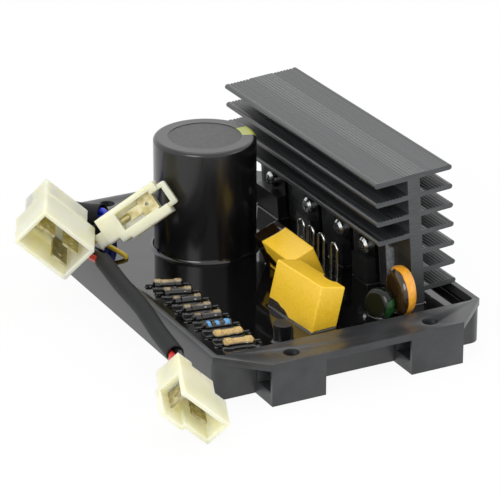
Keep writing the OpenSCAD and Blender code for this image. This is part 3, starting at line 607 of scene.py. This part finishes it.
waves = add(tree, "TexNoise", values={"Scale": per_metre(SHRINK_WAVE_MM), "Detail": 2},
            links={"Vector": place})
dull = add(tree, "MapRange", values={"To Min": 0.14, "To Max": 0.28}, links={"Value": waves.outputs[0]})
bump = add(tree, "Bump", values={"Strength": 0.2, "Distance": SHRINK_WAVE_HEIGHT_MM * MM},
           links={"Height": waves.outputs[0]})
# In a Mix node of colours, inputs 6 and 7 are the two colours and output 2 is the mixed one.
tone = add(tree, "Mix", {"data_type": "RGBA"}, {6: linear("#101012"), 7: linear("#9da23a")},
           {0: bar.outputs[0]})
tree.links.new(tone.outputs[2], shader.inputs["Base Color"])
feed(tree, shader, {"Roughness": dull, "Normal": bump})
dress(shrink, "capacitor_sleeve", "small_electrolytic")

# %% [markdown]
# ## Cover disc
# The can's top is closed by a plain black plastic disc under the rolled edge. It is duller than the sleeve,
# and its gloss is speckled at 1.5 mm.

# %% Cover disc
SPECK_MM = 1.5
cover_plastic, tree, shader = finish("black cover disc", "#1b1b1d", Roughness=0.4, IOR=1.53)
place = add(tree, "TexCoord").outputs["Object"]
speck = add(tree, "TexNoise", values={"Scale": per_metre(SPECK_MM), "Detail": 4}, links={"Vector": place})
dull = add(tree, "MapRange", values={"To Min": 0.32, "To Max": 0.5}, links={"Value": speck.outputs[0]})
feed(tree, shader, {"Roughness": dull})
dress(cover_plastic, "capacitor_disc")

# %% [markdown]
# ## Epoxy films
# When the tray was filled, wet epoxy ran over some parts and left a thin brown-black film with a ragged edge.
# A film is a mask by place: a soft ball, stretched to the film's length, width and height, with noise of 5 mm
# at its edge. Inside the mask the colour turns brown-black and the surface glossy.

# %% Films
RAG_MM = 5
FILM_EDGE = 0.03
FILM_GLOSS = 0.06
FILM_STEP_MM = 0.3


def stain(tree, place, spots, rag):
    """How much film covers a point, from 0 to 1. A spot is a middle and three half sizes in millimetres."""
    noise = add(tree, "TexNoise", values={"Scale": per_metre(RAG_MM), "Detail": 1}, links={"Vector": place})
    jitter = add(tree, "MapRange", values={"To Min": -rag, "To Max": rag}, links={"Value": noise.outputs[0]})
    cover = None
    for middle, half in spots:
        scale = [1 / (h * MM) for h in half]
        shift = [-m * MM * s for m, s in zip(middle, scale)]
        local = add(tree, "Mapping", values={"Location": shift, "Scale": scale}, links={"Vector": place})
        far = add(tree, "VectorMath", {"operation": "LENGTH"}, links={0: local.outputs[0]})
        edge = add(tree, "Math", {"operation": "ADD"}, links={0: far.outputs["Value"], 1: jitter.outputs[0]})
        spot = add(tree, "MapRange", values={"From Min": 1 + FILM_EDGE, "From Max": 1 - FILM_EDGE},
                   links={"Value": edge.outputs[0]})
        if cover is not None:
            spot = add(tree, "Math", {"operation": "MAXIMUM"}, links={0: cover, 1: spot.outputs[0]})
        cover = spot.outputs[0]
    return cover


def filmed(name, dark, pale, grain_mm, gloss, film, spots, rag):
    """A moulded or dipped finish between two tones, with an epoxy film over some of it."""
    material, tree, shader = finish(name, pale, IOR=1.55)
    place = add(tree, "TexCoord").outputs["Object"]
    grain = add(tree, "TexNoise", values={"Scale": per_metre(grain_mm), "Detail": 3}, links={"Vector": place})
    tone = add(tree, "ValToRGB", links={"Fac": grain.outputs[0]})
    set_stops(tone, (0.3, dark), (0.7, pale))
    cover = stain(tree, place, spots, rag)
    colour = add(tree, "Mix", {"data_type": "RGBA"}, {7: linear(film)}, {0: cover, 6: tone.outputs[0]})
    dull = add(tree, "MapRange", values={"To Min": gloss, "To Max": FILM_GLOSS}, links={"Value": cover})
    bump = add(tree, "Bump", values={"Strength": 0.6, "Distance": FILM_STEP_MM * MM}, links={"Height": cover})
    tree.links.new(colour.outputs[2], shader.inputs["Base Color"])
    feed(tree, shader, {"Roughness": dull, "Normal": bump})
    return material


print("films are ragged at", RAG_MM, "mm")

# %% [markdown]
# ## Yellow film capacitors
# Their cases are moulded polyester in a strong yellow. The back one has epoxy over the end next to the big
# capacitor, and the front one stands in a puddle that crept up its lower left corner and left a smear on top.

# %% Film capacitors
CASE_EDGE_MM = 0.45
FILM_SPOTS = {
    "back": [((5, 5, 22), (14, 9, 14)), ((-1, -4, 11), (4, 10, 8))],
    "front": [((-10.5, -29, 8), (4, 12.5, 5.9)), ((2.5, -43.4, 24.3), (1.5, 3.4, 1.2))],
}
for which, spots in FILM_SPOTS.items():
    case = filmed(f"yellow moulded polyester, {which}", "#efbd1d", "#f8cd3a", grain_mm=0.8, gloss=0.36,
                  film="#1d140a", spots=spots, rag=0.1)
    rounded_copy(f"film_capacitor_{which}", CASE_EDGE_MM, case, 3)

# %% [markdown]
# ## Dipped parts
# The varistor and the small capacitor beside it were dipped in coating powder, which leaves a soft round
# coat. The varistor is orange, but epoxy ran down the face on the capacitors' side and dried brown. The small
# one is green under a nearly black film, and only a patch towards the corner stayed clean.

# %% Varistor and dipped capacitor
VARISTOR_FILM = [((20.2, -50.5, 17.5), (3, 15, 15)), ((24.5, -51, 9.3), (7, 12, 3.4))]
DIPPED_FILM = [((15.6, -48, 15), (4.1, 7, 9)), ((17.4, -50, 20), (5, 8, 3.2))]
varistor_coat = filmed("orange dipped epoxy", "#e2951c", "#f0ab33", grain_mm=1.5, gloss=0.24,
                       film="#33230f", spots=VARISTOR_FILM, rag=0.12)
dipped_coat = filmed("green dipped epoxy", "#163a1a", "#1f4a24", grain_mm=1.5, gloss=0.2,
                     film="#171a13", spots=DIPPED_FILM, rag=0.2)
dipped_coat.node_tree.nodes["Principled BSDF"].inputs["Specular IOR Level"].default_value = 0.25
dress(varistor_coat, "disc_varistor")
dress(dipped_coat, "dipped_capacitor")

# %% [markdown]
# ## Resistors
# The resistors lie in the epoxy and most of each is under a black film. Only along their tops some paint
# looks out: tan on the first five, blue between dark rings on the sixth, and more of the tan on the last two.
# The film is one wide flat ball that reaches up to a little under the tops, so its ragged edge follows every
# resistor.

# %% Resistor coats
ROW = (-33.6, -23.5, 3)
DEEP_FILM = (ROW, (60, 110, 10.4))
LOW_FILM = (ROW, (60, 110, 9.5))
RINGS = [((x, -34.6, 11.5), (0.9, 7, 7)) for x in (-38.2, -35.4, -32.4, -29.2)]
COATS = {
    "tan": ("#8d7a58", "#c2ab80", [DEEP_FILM], (1, 2, 3, 4, 5)),
    "blue": ("#3f7fb8", "#63a9dc", [LOW_FILM, *RINGS], (6,)),
    "pale tan": ("#a5874e", "#d3b36e", [LOW_FILM], (7, 8)),
}
for shade, (dark, pale, spots, which) in COATS.items():
    coat = filmed(f"{shade} resistor lacquer", dark, pale, grain_mm=0.7, gloss=0.3,
                  film="#131110", spots=spots, rag=0.07)
    dress(coat, *[f"resistor_{k}" for k in which])

# %% [markdown]
# ## Cast epoxy
# The filling is black casting epoxy. It levelled itself before it set, so it is a black mirror with a very
# gentle swell, about 22 mm from crest to crest. Dust on it, drawn at 1.2 mm, takes off a little of the gloss.

# %% Epoxy
SWELL_MM = 22
SWELL_HEIGHT_MM = 0.6
DUST_MM = 1.2
epoxy, tree, shader = finish("black casting epoxy", "#0c0c0d", Roughness=0.05, IOR=1.55)
place = add(tree, "TexCoord").outputs["Object"]
swell = add(tree, "TexNoise", values={"Scale": per_metre(SWELL_MM), "Detail": 2}, links={"Vector": place})
dust = add(tree, "TexNoise", values={"Scale": per_metre(DUST_MM), "Detail": 5}, links={"Vector": place})
dull = add(tree, "MapRange", values={"From Min": 0.4, "From Max": 0.8, "To Min": 0.03, "To Max": 0.14},
           links={"Value": dust.outputs[0]})
bump = add(tree, "Bump", values={"Strength": 0.25, "Distance": SWELL_HEIGHT_MM * MM},
           links={"Height": swell.outputs[0]})
feed(tree, shader, {"Roughness": dull, "Normal": bump})
dress(epoxy, "resin", "resistor_legs")

# %% [markdown]
# ## Where the epoxy ends
# Wet epoxy clings to what it touches and sets with a small hollow slope round every part and along the tray's
# wall. It could be painted as a bump, but the slope is what draws the bright lines, so it is real. First the
# rims of the flat top are found: the edges of its faces with no other top face beyond them, in order.

# %% Rims of the epoxy
LEVEL_MM = 0.05
FEWEST_STEPS = 12


def top_rims(mesh, level):
    """The rims of the flat top as rings of points in millimetres, with the epoxy on the left hand."""
    bm = bmesh.new()
    bm.from_mesh(mesh)
    bmesh.ops.remove_doubles(bm, verts=bm.verts, dist=WELD)
    facing_up = [f for f in bm.faces if f.normal.z > FACING]
    top = [f for f in facing_up if abs(f.calc_center_median().z - level) < LEVEL_MM * MM]
    known = set(top)
    follow = {}
    for face in top:
        for loop in face.loops:
            if not any(f in known for f in loop.edge.link_faces if f is not face):
                follow[loop.vert] = loop.link_loop_next.vert
    rims = []
    while follow:
        start, vert = follow.popitem()
        rim = [start]
        while vert is not start and vert in follow:
            rim.append(vert)
            vert = follow.pop(vert)
        rims.append(np.array([v.co[:] for v in rim]) / MM)
    bm.free()
    return rims


def even(ring, step):
    """The same ring with points at even distances, and its length."""
    closed = np.vstack([ring, ring[:1]])
    far = np.concatenate([[0], np.cumsum(np.linalg.norm(np.diff(closed, axis=0), axis=1))])
    count = max(FEWEST_STEPS, int(far[-1] / step))
    at = np.linspace(0, far[-1], count, endpoint=False)
    return np.column_stack([np.interp(at, far, closed[:, k]) for k in range(3)]), far[-1]


rims = top_rims(nodes["resin"].data, FILL_Z * MM)
print(len(rims), "rims")

# %% [markdown]
# ## What stands in the epoxy
# The slope has to touch the part that it climbs, also where that part leans. So all solids but the epoxy and
# the board under it go into one search tree, which finds the nearest point of any wall.

# %% Walls
UNDER_EPOXY = ("resin", "circuit_board")


def solid_walls():
    """One search tree over all solids that stand in the epoxy."""
    points, faces = [], []
    for name, obj in nodes.items():
        if name not in UNDER_EPOXY:
            first = len(points)
            points += [v.co[:] for v in obj.data.vertices]
            faces += [[first + k for k in p.vertices] for p in obj.data.polygons]
    return BVHTree.FromPolygons(points, faces)


walls = solid_walls()
print("walls of", len(nodes) - len(UNDER_EPOXY), "solids")

# %% [markdown]
# ## Where the epoxy climbs
# Each rim is walked in small steps, and at each step a curved section goes from the wall down to the flat.
# How high it climbs follows from what it wets, and a rim's length tells that: four tenths of a millimetre on
# a wire, and more than one on the big capacitor. The section is a curve pulled towards the corner, with its
# foot a little under the flat.

# %% Epoxy slopes
STEP_MM = 0.7
CLIMBS_MM = [(8, 0.4), (40, 0.8), (95, 0.6), (130, 1.3), (1000, 0.7)]
SECTION_STEPS = 5
WALL_REACH = 0.7
SLOPE_RUN = 1.3
SLOPE_BEND = 0.12
SLOPE_FOOT_MM = 0.08
SLOPE_SHARP = math.radians(50)


def slope_section(foot, out, climb):
    """One section through the slope, from the wall down to the flat and back under the corner."""
    aim = foot + [0, 0, climb]
    hit = walls.find_nearest(Vector(aim) * MM)
    high = np.array(hit[0]) / MM if hit[3] < WALL_REACH * climb * MM else aim
    low = foot + out * climb * SLOPE_RUN
    bend = foot + out * climb * SLOPE_BEND
    steps = np.linspace(0, 1, SECTION_STEPS + 1)
    curve = [(1 - t) ** 2 * high + 2 * t * (1 - t) * bend + t ** 2 * low for t in steps]
    return curve + [foot - [0, 0, SLOPE_FOOT_MM]]


bm = bmesh.new()
for rim in rims:
    ring, length = even(rim, STEP_MM)
    climb = next(c for most, c in CLIMBS_MM if length < most)
    ahead = np.roll(ring, -1, axis=0) - np.roll(ring, 1, axis=0)
    inward = np.column_stack([-ahead[:, 1], ahead[:, 0], np.zeros(len(ring))])
    inward /= np.linalg.norm(inward, axis=1)[:, None]
    sections = []
    for foot, out in zip(ring, inward):
        sections.append([bm.verts.new(p * MM) for p in slope_section(foot, out, climb)])
    for one, two in zip(sections, sections[1:] + sections[:1]):
        for k in range(len(one)):
            m = (k + 1) % len(one)
            bm.faces.new((one[k], two[k], two[m], one[m]))
bmesh.ops.recalc_face_normals(bm, faces=bm.faces)
slopes = bpy.data.meshes.new("epoxy_slopes")
bm.to_mesh(slopes)
bm.free()
slopes.shade_smooth()
slopes.set_sharp_from_angle(angle=SLOPE_SHARP)
slopes.materials.append(epoxy)
new_piece("epoxy_slopes", slopes)
print(f"slopes: {len(slopes.polygons)} faces")

# %% [markdown]
# ## Small parts
# Moulding compound, stained copper, plated steel, tin, aluminium and laminate each have their own finish. The
# tin strip's pale blue tones are pale tin with a painted reflection of the sky.
# They share one recipe: a noise of a real size changes tone and gloss a little. A row holds the dark and the
# pale tone, the roughness, the metallic value, the size of the unevenness in millimetres and the solids.

# %% Small finishes
DEVICES = [f"device_{k}" for k in range(1, 5)]
TABS = [f"device_tab_{k}" for k in range(1, 5)]
WIRES = [f"wire_link_{k}" for k in range(1, 5)]
LEGS = ["film_capacitor_legs", "varistor_legs", "dipped_legs", "capacitor_pins"]
SMALL = {
    "black moulding compound": ("#151516", "#1f2022", 0.32, 0, 0.6, DEVICES),
    "epoxy stained copper": ("#2a2a2b", "#454546", 0.32, 1, 1.2, TABS),
    "dark silicone pad": ("#232221", "#30302e", 0.6, 0, 1.0, ["device_pads"]),
    "zinc plated steel": ("#a9abac", "#cfd1d2", 0.25, 1, 1.0, ["device_screws"]),
    "tinned copper": ("#b7b6b0", "#d8d7d2", 0.22, 1, 1.0, LEGS + WIRES),
    # The tin strip is tinted blue and brightened: a painted reflection of the sky on pale tin.
    "tin strip with painted sky reflection": ("#9aa2ac", "#c3c9d2", 0.6, 1, 1.0, ["tinned_strap"]),
    "drawn aluminium": ("#a8aaac", "#c2c4c6", 0.35, 1, 2.0, ["capacitor_can"]),
    "board laminate": ("#6d5226", "#846635", 0.5, 0, 1.5, ["circuit_board"]),
}
for name, (dark, pale, gloss, metal, size_mm, names) in SMALL.items():
    material, tree, shader = finish(name, pale, Roughness=gloss, Metallic=metal)
    place = add(tree, "TexCoord").outputs["Object"]
    spots = add(tree, "TexNoise", values={"Scale": per_metre(size_mm), "Detail": 4}, links={"Vector": place})
    tone = add(tree, "ValToRGB", links={"Fac": spots.outputs[0]})
    set_stops(tone, (0.35, dark), (0.65, pale))
    dull = add(tree, "MapRange", values={"To Min": gloss * 0.8, "To Max": gloss * 1.3},
               links={"Value": spots.outputs[0]})
    feed(tree, shader, {"Base Color": tone, "Roughness": dull})
    dress(material, *names)

# %% [markdown]
# ## The floor
# A white studio: the floor looks white to the camera and in reflections, but throws no extra light on the
# part. The kind of ray tells the two apart. The floor keeps a share of real shading for the shadow.

# %% Floor
FLOOR_HALF = 3
FLOOR_DROP_MM = 0.02
FLOOR_GLOW = 0.93


def looked_at(tree):
    """1 for rays from the camera, off a gloss or through glass, and 0 for light that falls on the part."""
    rays = add(tree, "LightPath")
    seen = rays.outputs["Is Camera Ray"]
    for kind in ("Is Glossy Ray", "Is Transmission Ray"):
        seen = add(tree, "Math", {"operation": "MAXIMUM"}, links={0: seen, 1: rays.outputs[kind]}).outputs[0]
    return seen


corners = [(x * FLOOR_HALF, y * FLOOR_HALF, 0) for x, y in ((-1, -1), (1, -1), (1, 1), (-1, 1))]
floor_mesh = bpy.data.meshes.new("floor")
floor_mesh.from_pydata(corners, [], [(0, 1, 2, 3)])
floor = link(bpy.data.objects.new("floor", floor_mesh))
floor.location.z = -FLOOR_DROP_MM * MM
paper = bpy.data.materials.new("white paper floor")
paper.use_nodes = True
tree = paper.node_tree
tree.nodes.clear()
share = add(tree, "Math", {"operation": "MULTIPLY"}, {1: FLOOR_GLOW}, {0: looked_at(tree)})
matt = add(tree, "BsdfDiffuse", values={"Color": linear("#f4f4f4")})
glow = add(tree, "Emission", values={"Color": (1, 1, 1, 1), "Strength": 1})
both = add(tree, "MixShader", links={0: share.outputs[0], 1: matt.outputs[0], 2: glow.outputs[0]})
add(tree, "OutputMaterial", links={"Surface": both.outputs[0]})
floor_mesh.materials.append(paper)
print("floor at", floor.location.z / MM, "mm")

# %% [markdown]
# ## Room and lamps
# The room is white all round and lights the part softly. To the camera and in reflections it is brighter than
# it shines, so that gloss mirrors a bright studio. Three round lamps add shape: a key from the left, one from
# above and a weaker fill from the right. They stay at a plain level, so colours look as they are written.

# %% Room and lamps
ROOM_LIGHT = 0.85
ROOM_MIRRORED = 1.3
AIM = Vector((0, 0, 0.02))
# A row holds a lamp's place and width in metres and its power in watts.
LAMPS = {
    "key": ((-0.7, -0.5, 0.5), 0.5, 3.2),
    "top": ((0.1, 0.25, 0.9), 0.7, 1.2),
    "fill": ((0.7, -0.6, 0.4), 0.6, 1.4),
}
world = bpy.data.worlds.new("white room")
world.use_nodes = True
tree = world.node_tree
tree.nodes.clear()
strength = add(tree, "MapRange", values={"To Min": ROOM_LIGHT, "To Max": ROOM_MIRRORED},
               links={"Value": looked_at(tree)})
room = add(tree, "Background", values={"Color": (1, 1, 1, 1)}, links={"Strength": strength.outputs[0]})
add(tree, "OutputWorld", links={"Surface": room.outputs[0]})
bpy.context.scene.world = world

for name, (place, width, power) in LAMPS.items():
    lamp = bpy.data.lights.new(name, "AREA")
    lamp.shape = "DISK"
    lamp.size = width
    lamp.energy = power
    stand = link(bpy.data.objects.new(name, lamp))
    stand.location = place
    stand.rotation_euler = (AIM - Vector(place)).to_track_quat("-Z", "Y").to_euler()
bpy.context.scene.view_settings.view_transform = "Standard"
print("lamps:", list(LAMPS))
